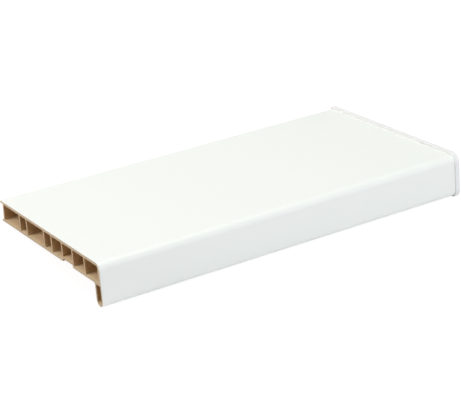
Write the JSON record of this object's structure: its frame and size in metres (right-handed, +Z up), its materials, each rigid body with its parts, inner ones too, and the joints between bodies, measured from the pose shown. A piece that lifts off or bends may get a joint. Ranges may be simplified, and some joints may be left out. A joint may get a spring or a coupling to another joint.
{
  "type": "window sill board",
  "caption": "Hollow window sill board with a dropped nose, a white surface film, an open sawn end and a moulded end cap.",
  "frame": {"origin": "centre of the box round the part, on the floor it lies on", "axes": "+X along the board towards the end cap, -Y towards the nose at the front, +Z up from the floor; the board lies on its nose and back edge, so its top slopes 6.50 degrees down to the back"},
  "size_m": [0.3886, 0.207, 0.0443],
  "materials": {
    "wood_composite": "matt tan wood composite, sawn at the end",
    "white_film": "satin white film",
    "cap_plastic": "satin white moulding"
  },
  "bodies": {
    "root": {"sill_board": "wood_composite", "surface_film": "white_film", "end_cap": "cap_plastic"}
  },
  "joints": []
}
